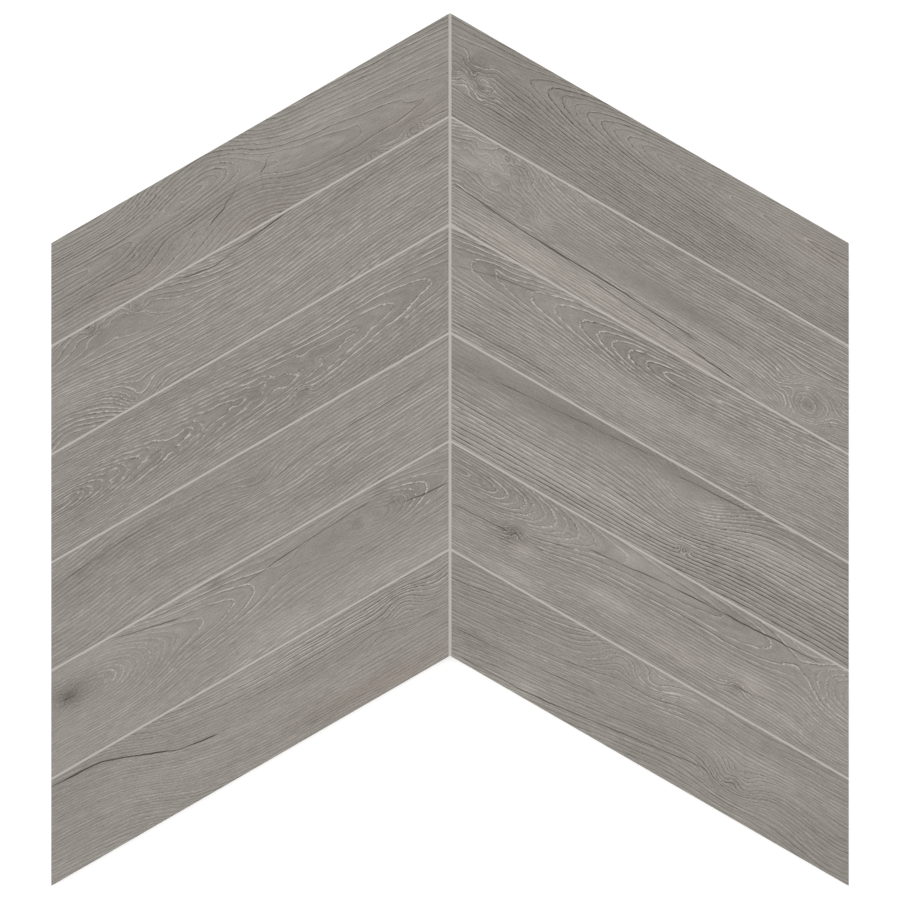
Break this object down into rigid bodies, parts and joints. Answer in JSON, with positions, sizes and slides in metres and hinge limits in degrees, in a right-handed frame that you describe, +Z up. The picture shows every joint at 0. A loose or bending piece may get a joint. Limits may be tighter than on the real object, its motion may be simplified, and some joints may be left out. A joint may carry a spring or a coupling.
{
  "type": "wood-look porcelain chevron tile sheet",
  "caption": "Chevron sheet of slim wood-look porcelain planks with pale grouted joints on a thin mesh back, bedded on floors and walls to lay a chevron pattern.",
  "frame": {"origin": "under the middle of the sheet's outline, on the plane that the mesh back lies on", "axes": "+X across the sheet, +Y towards the chevron's tip, +Z up out of the wood-look faces"},
  "size_m": [0.4, 0.4378, 0.0094],
  "materials": {
    "porcelain_plank": "matt printed glaze with a grey-oak wood grain and shallow grain relief",
    "joint_grout": "fine cement grout, pale warm grey, matt",
    "backing_mesh": "open-weave glass-fibre mesh, off-white"
  },
  "bodies": {
    "root": {"plank_left_1": "porcelain_plank", "plank_left_2": "porcelain_plank", "plank_left_3": "porcelain_plank", "plank_left_4": "porcelain_plank", "plank_left_5": "porcelain_plank", "plank_left_6": "porcelain_plank", "plank_right_1": "porcelain_plank", "plank_right_2": "porcelain_plank", "plank_right_3": "porcelain_plank", "plank_right_4": "porcelain_plank", "plank_right_5": "porcelain_plank", "plank_right_6": "porcelain_plank", "joint_grout": "joint_grout", "backing_mesh": "backing_mesh"}
  },
  "joints": []
}
